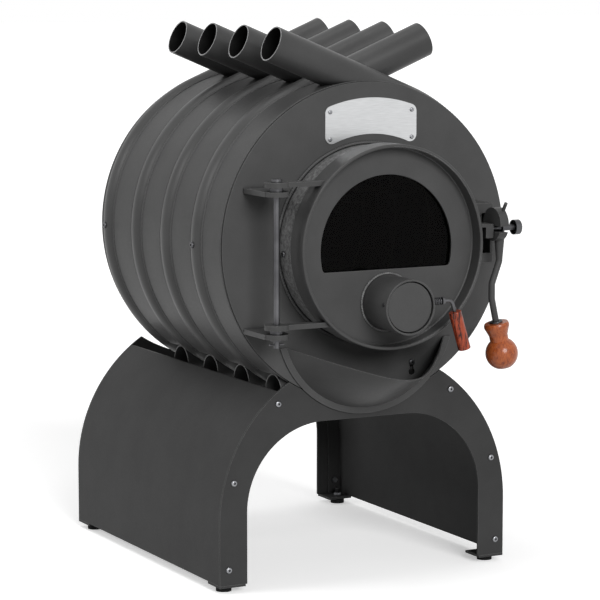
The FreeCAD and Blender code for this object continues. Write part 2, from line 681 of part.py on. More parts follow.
# Baffle plate over the fire, on two ledges welded to the rear disc.
BAFFLE_START = REAR + " - baffle_gap - baffle_depth"
keep("baffle_plate", box("-baffle_half_width", BAFFLE_START, above("baffle_rise"), "2 * baffle_half_width",
                         "baffle_depth", "baffle_sheet"))
ledges = [box("%sledge_place - ledge_sheet / 2" % sign, BAFFLE_START, above("baffle_rise - ledge_height"),
              "ledge_sheet", "baffle_depth + baffle_gap", "ledge_height") for sign in ("-", "")]
keep("baffle_ledges", together(ledges))

# Ash lip: a conical scoop under the door, cut off on a slope.


def scoop(offset):
    ends = []
    rings = (("0", "lip_radius", "lip_drop"), ("lip_reach", "lip_nose_radius", "lip_nose_drop"))
    for reach, radius, drop in rings:
        circle = solid("Part::Circle", "circle", 0, ahead(reach), above("-" + drop), TURN_TO_Y,
                       Radius="%s - %s" % (radius, offset))
        ends.append(circle)
    loft = doc.addObject("Part::Loft", unique("loft"))
    loft.Sections = ends
    loft.Solid = True
    loft.Ruled = True
    return loft


below = doc.addObject("Part::Box", unique("below"))
room = 4 * size["lip_radius"]
below.Length = room
below.Width = room
below.Height = room
slope = FreeCAD.Rotation(V(1, 0, 0), size["lip_edge_angle"])
corner = slope.multVec(V(-room / 2, -room / 2, -room))
below.Placement = FreeCAD.Placement(
    V(0, -size["base_depth"] / 2, axis_height - size["lip_edge_drop"]) + corner, slope)
flange = pipe("y", 0, ahead("lip_sheet"), above("-lip_drop"), "lip_radius + lip_flange",
              "lip_radius - lip_sheet", "lip_sheet")
keep("ash_lip", overlap(join(cut(scoop("0"), scoop("lip_sheet")), cut(flange, scoop("lip_sheet"))), below))

# Nameplate: a bare bent plate above the door, on four rivets.
top = size["label_radius"]
low = top - size["label_height"]
half = size["label_half_width"]
top_side = math.sqrt(top ** 2 - half ** 2)
low_side = math.sqrt(low ** 2 - half ** 2)
outline = [arc((-half, top_side), (0, top), (half, top_side)), line((half, top_side), (half, low_side)),
           arc((half, low_side), (0, low), (-half, low_side)), line((-half, low_side), (-half, top_side))]
label = padded("XZ_Plane", outline, "label_sheet", "label_shift", FRONT, AXIS)
doc.recompute()
pad = label.Tip
corners = []
for number, edge in enumerate(pad.Shape.Edges, 1):
    run = edge.Vertexes[-1].Point - edge.Vertexes[0].Point
    if run.Length > 0 and abs(abs(run.y) - run.Length) < 1e-6:
        corners.append("Edge%d" % number)
fillet = label.newObject("PartDesign::Fillet", unique("fillet"))
fillet.Base = (pad, corners)
fillet.setExpression("Radius", bound("label_corner"))
label.Tip = fillet
keep("name_plate", label)
rivet_x = half - size["rivet_inset"]
rivet = domed(size["rivet_radius"], size["rivet_height"], size["rivet_round"])
forward = FreeCAD.Rotation(V(1, 0, 0), 90)
rivet_spots = []
for x in (-rivet_x, rivet_x):
    for radius in (top - size["rivet_inset"], low + size["rivet_inset"]):
        rivet_spots.append(FreeCAD.Placement(
            V(x + size["label_shift"], -size["base_depth"] / 2 - size["label_sheet"],
              axis_height + math.sqrt(radius ** 2 - rivet_x ** 2)), forward))
grouped("plate_rivets", rivet, rivet_spots)

# Hinge: two lugs on the disc, a long pin, spacers, and the arms of the door.
PIN_X = "-pin_place"
PIN_Y = ahead("pin_reach")
lugs = []
washers = []
arms = []
for level in ("upper_lug", "-lower_lug"):
    z = above(level)
    eye = rod("z", PIN_X, PIN_Y, z, "eye_radius", "lug_sheet")
    stem = box("-pin_place - lug_width / 2", PIN_Y, z, "lug_width", "pin_reach", "lug_sheet")
    hole = rod("z", PIN_X, PIN_Y, z, "pin_radius", "lug_sheet")
    lugs.append(cut(join(eye, stem), hole))
    seat = above(level + " + lug_sheet")
    washers.append(pipe("z", PIN_X, PIN_Y, seat, "spacer_radius", "pin_radius", "spacer_height"))
    floor = above(level + " + lug_sheet + spacer_height + running_gap")
    eye = rod("z", PIN_X, PIN_Y, floor, "eye_radius", "arm_sheet")
    bar = box(PIN_X, ahead("arm_reach + arm_width"), floor, "pin_place", "arm_width", "arm_sheet")
    pan = rod("y", 0, ahead("door_front"), AXIS, "door_radius", "door_front")
    hole = rod("z", PIN_X, PIN_Y, floor, "pin_radius + pin_play", "arm_sheet")
    arms.append(cut(join(eye, bar), pan, hole))
keep("hinge_lugs", together(lugs))
keep("door_arms", together(arms))
PIN_HEAD = above("upper_lug + lug_sheet + spacer_height + arm_sheet + 2 * running_gap")
PIN_FOOT = above("-lower_lug - washer_sheet - pin_tail")
PIN_HOLE = above("-lower_lug - washer_sheet - pin_tail / 2")
shank = rod("z", PIN_X, PIN_Y, PIN_FOOT, "pin_radius", "(%s) - (%s)" % (PIN_HEAD, PIN_FOOT))
head = rod("z", PIN_X, PIN_Y, PIN_HEAD, "pin_head_radius", "pin_head")
COTTER_X = "-pin_place - cotter_length / 2"
cotter_hole = rod("x", COTTER_X, PIN_Y, PIN_HOLE, "cotter_radius", "cotter_length")
keep("hinge_pin", cut(join(shank, head), cotter_hole))
washers.append(pipe("z", PIN_X, PIN_Y, above("-lower_lug - washer_sheet"), "washer_radius", "pin_radius",
                    "washer_sheet"))
keep("hinge_washers", together(washers))
keep("cotter_pin", rod("x", COTTER_X, PIN_Y, PIN_HOLE, "cotter_radius", "cotter_length"))

# Small screws on the drum: two on the left flank, one on the neck and one on the disc.
first = -size["base_depth"] / 2 + size["disc_sheet"] + size["weld_gap"] + size["tube_radius"]
pitch = 2 * size["tube_radius"] + size["tube_gap"]
flank = FreeCAD.Rotation(V(0, 1, 0), -90)
crest = -(size["bend_radius"] + size["tube_radius"])
drum_screws = []
for number in (1, 2 * TUBES - 1):
    drum_screws.append(FreeCAD.Placement(V(crest, first + number * pitch, axis_height), flank))
neck_angle = math.radians(size["neck_screw_angle"])
drum_screws.append(FreeCAD.Placement(
    V(-size["neck_radius"] * math.cos(neck_angle), -size["base_depth"] / 2 - size["neck_screw_reach"],
      axis_height - size["neck_radius"] * math.sin(neck_angle)),
    FreeCAD.Rotation(V(0, 1, 0), -90 - size["neck_screw_angle"])))
disc_spot = size["disc_screw_place"]
disc_angle = math.radians(size["disc_screw_angle"])
drum_screws.append(FreeCAD.Placement(
    V(disc_spot * math.sin(disc_angle), -size["base_depth"] / 2,
      axis_height - disc_spot * math.cos(disc_angle)), forward))
grouped("drum_screws", button_screw("", 0, 0), drum_screws)

# Keeper box on the side of the neck: its plate has an arched slot for the latch finger, and walls go back to
# the disc.
keeper_y = ahead("keeper_reach")
FINGER_X = "bracket_end + boss_gap"
SLOT_X = FINGER_X + " - slot_play"
KEEPER_WIDTH = "keeper_end - neck_radius / 2"
KEEPER_LOW = above("keeper_top - keeper_height")
plate = box("neck_radius / 2", keeper_y, KEEPER_LOW, KEEPER_WIDTH, "keeper_sheet", "keeper_height")
shelf = box("neck_radius / 2", keeper_y, KEEPER_LOW, KEEPER_WIDTH, "keeper_reach - weld_gap", "shelf_sheet")
roof = box("neck_radius / 2", keeper_y, above("keeper_top - shelf_sheet"), KEEPER_WIDTH,
           "keeper_reach - weld_gap", "shelf_sheet")
wall = box("keeper_end - shelf_sheet", keeper_y, KEEPER_LOW, "shelf_sheet", "keeper_reach - weld_gap",
           "keeper_height")
neck = rod("y", 0, keeper_y, AXIS, "neck_radius + weld_gap", "keeper_reach")
slot = box(SLOT_X, keeper_y, above("slot_top - slot_height"), "slot_width", "keeper_sheet",
           "slot_height - slot_width / 2")
arch = rod("y", SLOT_X + " + slot_width / 2", keeper_y, above("slot_top - slot_width / 2"), "slot_width / 2",
           "keeper_sheet")
keep("latch_keeper", cut(join(plate, shelf, roof, wall), slot, arch, neck))

# Door: a round pan with a rounded rim, a window and an air inlet.


def window_outline(grow):
    radius = size["window_radius"] + grow
    drop = size["window_drop"] + grow
    corner = size["window_corner"]
    x = math.sqrt((radius - corner) ** 2 - (drop - corner) ** 2)
    z = corner - drop
    angle = math.atan2(z, x)
    end = (radius * math.cos(angle), radius * math.sin(angle))
    turn = (angle - math.pi / 2) / 2
    middle = (x + corner * math.cos(turn), z + corner * math.sin(turn))
    return [line((-x, -drop), (x, -drop)), arc((x, -drop), middle, end),
            arc(end, (0, radius), (-end[0], end[1])),
            arc((-end[0], end[1]), (-middle[0], middle[1]), (-x, -drop))]


def window_plate(grow, reach, length):
    return padded("XZ_Plane", window_outline(grow), length, 0, ahead(reach), above("-window_shift"))


outer = size["door_radius"]
inner = size["neck_radius"] + size["door_play"]
rim = outer - size["door_rim"]
face_front = size["door_face"] + size["door_sheet"]
soft = size["rim_round"]
profile = rounded([(outer, -size["door_back"], 0), (outer, -size["door_front"], soft),
                   (rim, -size["door_front"], soft), (rim, -face_front, soft), (0, -face_front, 0),
                   (0, -size["door_face"], 0), (inner, -size["door_face"], 0),
                   (inner, -size["door_back"], 0)], True)
pan = turned("XY_Plane", profile, 0, FRONT, AXIS)
inlet = rod("y", 0, ahead("door_front"), above("-intake_drop"), "intake_radius - intake_wall", "door_front")
light = window_plate(0, "0", "door_front")
keep("door_pan", cut(pan, inlet, light))
keep("door_seal", pipe("y", 0, ahead("door_face"), AXIS, "neck_radius + door_play",
                       "neck_radius + door_play - seal_width", "door_face - neck_reach - running_gap"))
gasket = cut(window_plate(size["glass_lap"], "door_face - gasket_sheet", "gasket_sheet"),
             window_plate(0, "door_face - gasket_sheet", "gasket_sheet"))
keep("glass_gasket", gasket)
keep("window_glass", window_plate(size["glass_lap"], "door_face - gasket_sheet - glass_sheet", "glass_sheet"))
stack = size["gasket_sheet"] + size["glass_sheet"]
edge = size["window_radius"] + size["glass_lap"]
clip_play = size["clip_play"]
foot = Part.makeBox(size["clip_foot"], size["clip_width"], stack + size["clip_sheet"],
                    V(edge + clip_play, -size["clip_width"] / 2, 0))
tongue = Part.makeBox(size["clip_lap"] + clip_play, size["clip_width"], size["clip_sheet"],
                      V(edge - size["clip_lap"], -size["clip_width"] / 2, stack))
screw_x = edge + clip_play + size["clip_foot"] / 2
bore = Part.makeCylinder(size["clip_screw_radius"], stack + size["clip_sheet"], V(screw_x, 0, 0))
clip = foot.fuse(tongue).removeSplitter().cut(bore)
clip_screw = button_screw("clip_", size["clip_screw_radius"], stack + size["clip_sheet"])
clip_screw.translate(V(screw_x, 0, stack + size["clip_sheet"]))
clip_seat = V(0, -size["base_depth"] / 2 - size["door_face"], axis_height - size["window_shift"])
clip_spots = [FreeCAD.Placement(clip_seat, TURN_TO_Y.multiply(FreeCAD.Rotation(V(0, 0, 1), -angle)))
              for angle in (0, 60, 120, 180)]
grouped("glass_clips", clip, clip_spots)
grouped("clip_screws", clip_screw, clip_spots)

# Air intake on the door: a short tube with a throttle disc on a shaft that ends as the lever.
SHAFT_Y = ahead("intake_reach - shaft_setback")
SHAFT_Z = above("shaft_rise - intake_drop")
intake = pipe("y", 0, ahead("intake_reach"), above("-intake_drop"), "intake_radius",
              "intake_radius - intake_wall", "intake_reach - door_face - door_sheet")
shaft_hole = rod("x", "-2 * intake_radius", SHAFT_Y, SHAFT_Z, "shaft_radius + shaft_play",
                 "4 * intake_radius")
keep("air_intake", cut(intake, shaft_hole))
keep("throttle_disc", rod("y", 0, ahead("intake_reach - shaft_setback + shaft_radius + throttle_sheet"),
                          above("-intake_drop"), "throttle_radius", "throttle_sheet"))
lean = math.radians(size["lever_angle"])
bend_x = size["shaft_end"] + size["lever_place"]
lever_tip = (bend_x + size["lever_length"] * math.sin(lean), -size["lever_length"] * math.cos(lean))
lever_path = rounded([(0, 0, 0), (bend_x, 0, size["lever_bend"]), (lever_tip[0], lever_tip[1], 0)], False)
keep("air_lever", swept("YZ_Plane", ["shaft_radius"], lever_path, "-shaft_end", SHAFT_Y, SHAFT_Z))
grip_outline = rounded([(size["shaft_radius"], 0, 0), (size["grip_radius"], 0, size["grip_round"]),
                        (size["grip_radius"], -size["grip_length"], size["grip_round"]),
                        (size["shaft_radius"], -size["grip_length"], 0)], True)
GRIP_X = "lever_place + grip_start * sin(lever_angle * 1deg)"
GRIP_Z = above("shaft_rise - intake_drop - grip_start * cos(lever_angle * 1deg)")
keep("air_grip", turned("XZ_Plane", grip_outline, GRIP_X, SHAFT_Y, GRIP_Z,
                        FreeCAD.Rotation(V(0, 1, 0), -size["lever_angle"])))
STOP_X = "intake_radius + spring_start + spring_length + spring_wire"
keep("spring_stop", pipe("x", STOP_X, SHAFT_Y, SHAFT_Z, "stop_radius", "shaft_radius", "stop_length"))
turn_pitch = size["spring_length"] / size["spring_turns"]
coil = Part.makeHelix(turn_pitch, size["spring_length"], size["spring_radius"])
wire = Part.Wire(Part.Circle(V(size["spring_radius"], 0, 0), V(0, 1, 0), size["spring_wire"]).toShape())
spring = doc.addObject("Part::Feature", "spring")
spring.Shape = Part.Wire(coil).makePipeShell([wire], True, True)
place(spring, "intake_radius + spring_start", SHAFT_Y, SHAFT_Z, TURN_TO_X)
keep("lever_spring", spring)

# Latch: a block on an arm of the door with a pivot bolt, and the notched disc of the handle that turns on it.
PIVOT_Y = ahead("pivot_reach")
PIVOT_Z = above("pivot_rise")
LATCH_Y = ahead("latch_back + latch_depth")
lug = box("bracket_end - latch_width", LATCH_Y, above("pivot_rise - latch_drop"), "latch_width",
          "latch_depth", "latch_height")
arm = box("door_radius / 2", LATCH_Y, above("pivot_rise - latch_drop + latch_height - latch_arm"),
          "bracket_end - latch_width - door_radius / 2", "latch_depth", "latch_arm")
pan = rod("y", 0, ahead("door_front"), AXIS, "door_radius", "door_front")
seat = rod("x", "pivot_start", PIVOT_Y, PIVOT_Z, "pivot_radius", "bracket_end - pivot_start")
keep("latch_bracket", cut(join(lug, arm), pan, seat))
COLLAR_X = "bracket_end + 2 * boss_gap + boss_length"
collar = rod("x", COLLAR_X, PIVOT_Y, PIVOT_Z, "pivot_collar", "collar_length")
head = rod("x", "pivot_head_place", PIVOT_Y, PIVOT_Z, "pivot_head_radius", "pivot_head")
hollow = pipe("x", "pivot_head_place", PIVOT_Y, PIVOT_Z, "pivot_head_radius - pivot_wall", "pivot_radius",
              "pivot_head - pivot_wall")
shank = rod("x", "pivot_start", PIVOT_Y, PIVOT_Z, "pivot_radius",
            "pivot_head_place + pivot_head - pivot_wall - pivot_start")
keep("pivot_bolt", join(shank, collar, cut(head, hollow)))
finger = size["finger_height"] / 2
reach = size["finger_length"]
hook = [(0, -finger, 0), (reach, -finger, 0), (reach, size["hook_height"], 0),
        (reach - size["hook_depth"], size["hook_height"], 0), (reach - size["hook_depth"], finger, 0),
        (0, finger, 0)]
claw = padded("YZ_Plane", rounded(hook, True), "finger_width", FINGER_X, PIVOT_Y, PIVOT_Z)
step_x = -size["handle_step"]
top_z = size["handle_start"] - size["handle_upper"]
step_z = top_z - size["handle_slope"]
low_z = step_z - size["handle_lower"]
tilt = math.radians(size["knob_angle"])
tail = size["handle_tail"] + size["knob_bore"]
bends = [(0, 0, 0), (0, top_z, size["handle_bend"]), (step_x, step_z, size["handle_bend"]),
         (step_x, low_z, size["handle_bend"]),
         (step_x + tail * math.sin(tilt), low_z - tail * math.cos(tilt), 0)]
stem = swept("XY_Plane", ["handle_radius"], rounded(bends, False), "handle_place", PIVOT_Y,
             above("pivot_rise - handle_start"))
BOSS_Z = above("pivot_rise + boss_rise")
boss = rod("x", FINGER_X, PIVOT_Y, BOSS_Z, "boss_radius", "boss_length")
root = solid("Part::Cone", "root", "handle_place", PIVOT_Y, above("pivot_rise - handle_root"),
             Radius1="handle_radius", Radius2="handle_root_radius", Height="handle_root - handle_start")
pin_turn = FreeCAD.Rotation(V(1, 0, 0), size["stop_pin_angle"])
stop_pin = solid("Part::Cylinder", "pin", FINGER_X + " + stop_pin_place", PIVOT_Y, BOSS_Z, pin_turn,
                 Radius="stop_pin_radius", Height="boss_radius + stop_pin_length")
bore = rod("x", FINGER_X, PIVOT_Y, PIVOT_Z, "pivot_radius + pin_play", "boss_length")
notch = box(FINGER_X, ahead("pivot_reach + boss_radius"), above("pivot_rise - pivot_radius - pin_play"),
            "boss_length", "boss_radius", "2 * (pivot_radius + pin_play)")
keep("handle_lever", cut(join(boss, claw, stem, root, stop_pin), bore, notch))
knob_turn = FreeCAD.Rotation(V(0, 1, 0), -size["knob_angle"])
KNOB_X = "handle_place - handle_step + handle_tail * sin(knob_angle * 1deg)"
LOWER_BEND = "pivot_rise - handle_upper - handle_slope - handle_lower"
KNOB_Z = above(LOWER_BEND + " - handle_tail * cos(knob_angle * 1deg)")
rod_radius = size["handle_radius"]
ball = size["knob_radius"]
length = size["knob_length"]
bead = (size["knob_top_radius"], -size["knob_bead"])
swell = (size["knob_top_radius"] + size["knob_bulge"], -size["knob_bead"] / 2)
waist = (size["knob_waist"], -size["knob_waist_drop"])
tip = (size["knob_end_radius"], -length)
middle = math.sqrt(ball ** 2 - tip[0] ** 2) - length
shoulder = (waist[0], middle + math.sqrt(ball ** 2 - waist[0] ** 2))
top = (size["knob_top_radius"], 0)
bore_depth = -size["knob_bore"]
knob_outline = [line((rod_radius, 0), top), arc(top, swell, bead), line(bead, waist), line(waist, shoulder),
                arc(shoulder, (ball, middle), tip), line(tip, (0, -length)),
                line((0, -length), (0, bore_depth)), line((0, bore_depth), (rod_radius, bore_depth)),
                line((rod_radius, bore_depth), (rod_radius, 0))]
keep("handle_knob", turned("XZ_Plane", knob_outline, KNOB_X, PIVOT_Y, KNOB_Z, knob_turn))
ferrule_outline = rounded([(rod_radius, 0, 0), (size["ferrule_radius"], 0, 0),
                           (size["ferrule_radius"], size["ferrule_length"], size["ferrule_round"]),
                           (rod_radius, size["ferrule_length"], 0)], True)
keep("handle_ferrule", turned("XZ_Plane", ferrule_outline, KNOB_X, PIVOT_Y, KNOB_Z, knob_turn))

doc.recompute()
for item in doc.Objects:
    if "Invalid" in item.State or "Error" in item.State:
        raise RuntimeError("not computed: %s (%s)" % (item.Name, item.Label))
for item in pieces:
    if item.Shape.isNull() or not item.Shape.isValid() or not item.Shape.Solids:
        raise RuntimeError("no sound shape: " + item.Label)
os.makedirs("parts", exist_ok=True)
for item in pieces:
    item.Shape.exportStep("parts/%s.step" % item.Label)
    bounds = item.Shape.BoundBox
    print("%-24s solids %d  x %.1f..%.1f  y %.1f..%.1f  z %.1f..%.1f" % (
        item.Label, len(item.Shape.Solids), bounds.XMin, bounds.XMax, bounds.YMin, bounds.YMax,
        bounds.ZMin, bounds.ZMax))
print("gap between the spring's turns %.2f mm" % (turn_pitch - 2 * size["spring_wire"]))
print(len(pieces), "nodes")
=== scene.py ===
import math

import bmesh
import bpy
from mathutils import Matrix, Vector


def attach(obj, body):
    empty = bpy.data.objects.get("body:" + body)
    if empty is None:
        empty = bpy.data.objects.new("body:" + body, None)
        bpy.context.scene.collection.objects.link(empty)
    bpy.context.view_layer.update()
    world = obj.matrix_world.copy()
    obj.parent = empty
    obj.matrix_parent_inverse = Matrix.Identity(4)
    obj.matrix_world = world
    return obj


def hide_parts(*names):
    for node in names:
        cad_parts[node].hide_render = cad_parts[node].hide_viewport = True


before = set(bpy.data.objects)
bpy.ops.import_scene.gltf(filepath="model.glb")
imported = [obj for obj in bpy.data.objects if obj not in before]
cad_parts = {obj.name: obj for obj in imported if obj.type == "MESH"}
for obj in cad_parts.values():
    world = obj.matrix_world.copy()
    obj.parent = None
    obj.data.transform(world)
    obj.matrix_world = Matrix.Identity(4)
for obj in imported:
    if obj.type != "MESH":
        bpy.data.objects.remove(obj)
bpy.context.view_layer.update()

# Base: two arched end plates and two rolled side panels of sheet steel, screwed together around two
# cross rails. All are cut, bent and sprayed with matt anthracite stove paint.


def linear(code):
    """Linear RGBA of an sRGB hex colour."""
    parts = [int(code[i:i + 2], 16) / 255 for i in (1, 3, 5)]
    return [c / 12.92 if c <= 0.04045 else ((c + 0.055) / 1.055) ** 2.4 for c in parts] + [1.0]


def per_mm(length):
    """Texture scale whose pattern repeats about once in this many millimetres."""
    return 1000 / length


def add(tree, kind, values=None, links=None, stops=None, **settings):
    """Adds a shader node with its settings, socket values, links and colour stops."""
    made = tree.nodes.new("ShaderNode" + kind)
    for name, value in settings.items():
        setattr(made, name, value)
    for socket, value in (values or {}).items():
        made.inputs[socket].default_value = value
    for socket, source in (links or {}).items():
        tree.links.new(source, made.inputs[socket])
    for i, (place, code) in enumerate(stops or []):
        stop = made.color_ramp.elements[i] if i < 2 else made.color_ramp.elements.new(place)
        stop.position = place
        stop.color = linear(code)
    return made


def new_material(name, **sockets):
    """A material, its node tree and its shader; socket names are written with _ for a space."""
    made = bpy.data.materials.new(name)
    made.use_nodes = True
    shader = made.node_tree.nodes["Principled BSDF"]
    for socket, value in sockets.items():
        shader.inputs[socket.replace("_", " ")].default_value = value
    return made, made.node_tree, shader


def wear(names, material):
    """Gives CAD nodes their material."""
    for name in names:
        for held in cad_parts[name].material_slots:
            held.material = material


edge_round = 0.0012
# Pale grey painted onto edges as a highlight.
edge_highlight = "#8c8c8c"
# Reach and near black of the shade painted into corners.
corner_shade_reach = 0.016
corner_shade = "#181818"
gloss_swing = 0.07


def sprayed(name, light, dark, rough, peel_size, peel_depth, sheen=0.15, patch=90):
    """Sprayed coat: cloudy tone, fine grain and orange peel, with a painted highlight on convex edges and
    painted shade in corners.
    """
    made, tree, shader = new_material(name, Specular_IOR_Level=sheen)
    place = add(tree, "TexCoord").outputs["Object"]
    edge = add(tree, "Bevel", {"Radius": edge_round}, samples=4)
    cloud = add(tree, "TexNoise", {"Scale": per_mm(patch), "Detail": 4, "Roughness": 0.6}, {"Vector": place})
    grain = add(tree, "TexNoise", {"Scale": per_mm(0.9), "Detail": 3}, {"Vector": place})
    peel = add(tree, "TexNoise", {"Scale": per_mm(peel_size), "Detail": 2}, {"Vector": place})
    both = add(tree, "Mix", {0: 0.4}, {2: cloud.outputs["Fac"], 3: grain.outputs["Fac"]})
    tone = add(tree, "ValToRGB", {}, {"Fac": both.outputs[0]}, stops=[(0.38, dark), (0.62, light)])
    flat = add(tree, "NewGeometry").outputs["True Normal"]
    turn = add(tree, "VectorMath", {}, {0: edge.outputs["Normal"], 1: flat}, operation="DOT_PRODUCT")
    # Painted highlight: edges, where the rounded normal turns away from the flat one, are mixed towards a
    # pale grey.
    edge_glint = add(tree, "MapRange", {"From Min": 0.985, "From Max": 0.8, "To Max": 0.55},
                 {"Value": turn.outputs["Value"]})
    tone = add(tree, "Mix", {7: linear(edge_highlight)}, {0: edge_glint.outputs["Result"], 6: tone.outputs["Color"]},
               data_type="RGBA")
    # Painted shade: where ambient occlusion finds nearby surfaces, in corners, recesses and between parts,
    # the tone is mixed towards near black.
    open_air = add(tree, "AmbientOcclusion", {"Distance": corner_shade_reach}, samples=8)
    corner = add(tree, "MapRange", {"From Min": 0.7, "From Max": 0.3, "To Max": 0.75},
                 {"Value": open_air.outputs["AO"]})
    tone = add(tree, "Mix", {7: linear(corner_shade)}, {0: corner.outputs["Result"], 6: tone.outputs[2]},
               data_type="RGBA")
    gloss = add(tree, "MapRange", {"To Min": rough - gloss_swing, "To Max": rough + gloss_swing},
                {"Value": peel.outputs["Fac"]})
    fine = add(tree, "Bump", {"Strength": 0.15, "Distance": 0.0003},
               {"Height": grain.outputs["Fac"], "Normal": edge.outputs["Normal"]})
    relief = add(tree, "Bump", {"Strength": 0.3, "Distance": peel_depth},
                 {"Height": peel.outputs["Fac"], "Normal": fine.outputs["Normal"]})
    tree.links.new(tone.outputs[2], shader.inputs["Base Color"])
    tree.links.new(gloss.outputs["Result"], shader.inputs["Roughness"])
    tree.links.new(relief.outputs["Normal"], shader.inputs["Normal"])
    return made


# Matt paint of the base: an even dark grey whose fine grain takes the sharpness out of every reflection.
base_paint = sprayed("stove_paint_sprayed_matt_anthracite", "#3b3b3b", "#343434", 0.62, 3.5, 0.0003)
wear(["base_front_plate", "base_rear_plate", "base_left_panel", "base_right_panel", "cross_rails"],
     base_paint)

# Base fasteners: button-head socket screws through the end plates, with nuts on the panel flanges inside.
# Turned from steel and zinc plated, so they stand out bright against the paint.
# Near black painted as shade where ambient occlusion finds surfaces within this reach.
socket_shade = "#161616"
socket_shade_reach = 0.003
scratch_swing = 0.1


def plated(name, light, dark, rough, patch):
    """Bright metal with a cloudy tone, fine scratches in its gloss, and painted shade in sockets and corners.
    """
    made, tree, shader = new_material(name, Metallic=1.0)
    place = add(tree, "TexCoord").outputs["Object"]
    cloud = add(tree, "TexNoise", {"Scale": per_mm(patch), "Detail": 3}, {"Vector": place})
    fine = add(tree, "TexNoise", {"Scale": per_mm(0.5), "Detail": 2}, {"Vector": place})
    tone = add(tree, "ValToRGB", {}, {"Fac": cloud.outputs["Fac"]}, stops=[(0.35, dark), (0.65, light)])
    # Painted shade: sockets and the ground round the heads darken towards near black.
    open_air = add(tree, "AmbientOcclusion", {"Distance": socket_shade_reach}, samples=8)
    unshaded = add(tree, "MapRange", {"From Min": 0.45, "From Max": 0.75}, {"Value": open_air.outputs["AO"]})
    tone = add(tree, "Mix", {6: linear(socket_shade)}, {0: unshaded.outputs["Result"], 7: tone.outputs["Color"]},
               data_type="RGBA")
    gloss = add(tree, "MapRange", {"To Min": rough - scratch_swing, "To Max": rough + scratch_swing},
                {"Value": fine.outputs["Fac"]})
    relief = add(tree, "Bump", {"Strength": 0.1, "Distance": 0.0001}, {"Height": fine.outputs["Fac"]})
    tree.links.new(tone.outputs[2], shader.inputs["Base Color"])
    tree.links.new(gloss.outputs["Result"], shader.inputs["Roughness"])
    tree.links.new(relief.outputs["Normal"], shader.inputs["Normal"])
    return made


# Zinc plate: pale, slightly cloudy and half bright, with painted shade only in the sockets and round the
# heads.
zinc = plated("zinc_plate_bright", "#96979a", "#808184", 0.32, 4)
wear(["base_screws", "base_nuts", "foot_nuts", "clip_screws"], zinc)

# Feet: brackets welded into the corners of the base, each with a levelling foot that stands on a rubber pad.
# The brackets are painted with the base, the pads are moulded.
wear(["foot_brackets"], base_paint)
# Moulded rubber: nearly black, dull, with a fine sandy skin.
rubber = sprayed("rubber_moulded_black", "#1f1f20", "#171718", 0.78, 0.6, 0.0002)
wear(["levelling_feet"], rubber)

# Air tubes: eight lengths of 60 mm steel tube, bent around the fire and welded side by side into a drum.
# Four leave at the upper left and four at the upper right; the saw cut at each mouth has lost its paint.
drum_axis = 0.57
disc_face = -0.298
tube_pitch = 0.0602
tube_radius = 0.03
bend_radius = 0.245
tube_rise = math.radians(22.3)
bore_edge = 0.0292
fire_side = 0.256
# Near black for soot on the fire side, also painted into the tube bores as shade.
soot_and_bore_shade = "#121212"


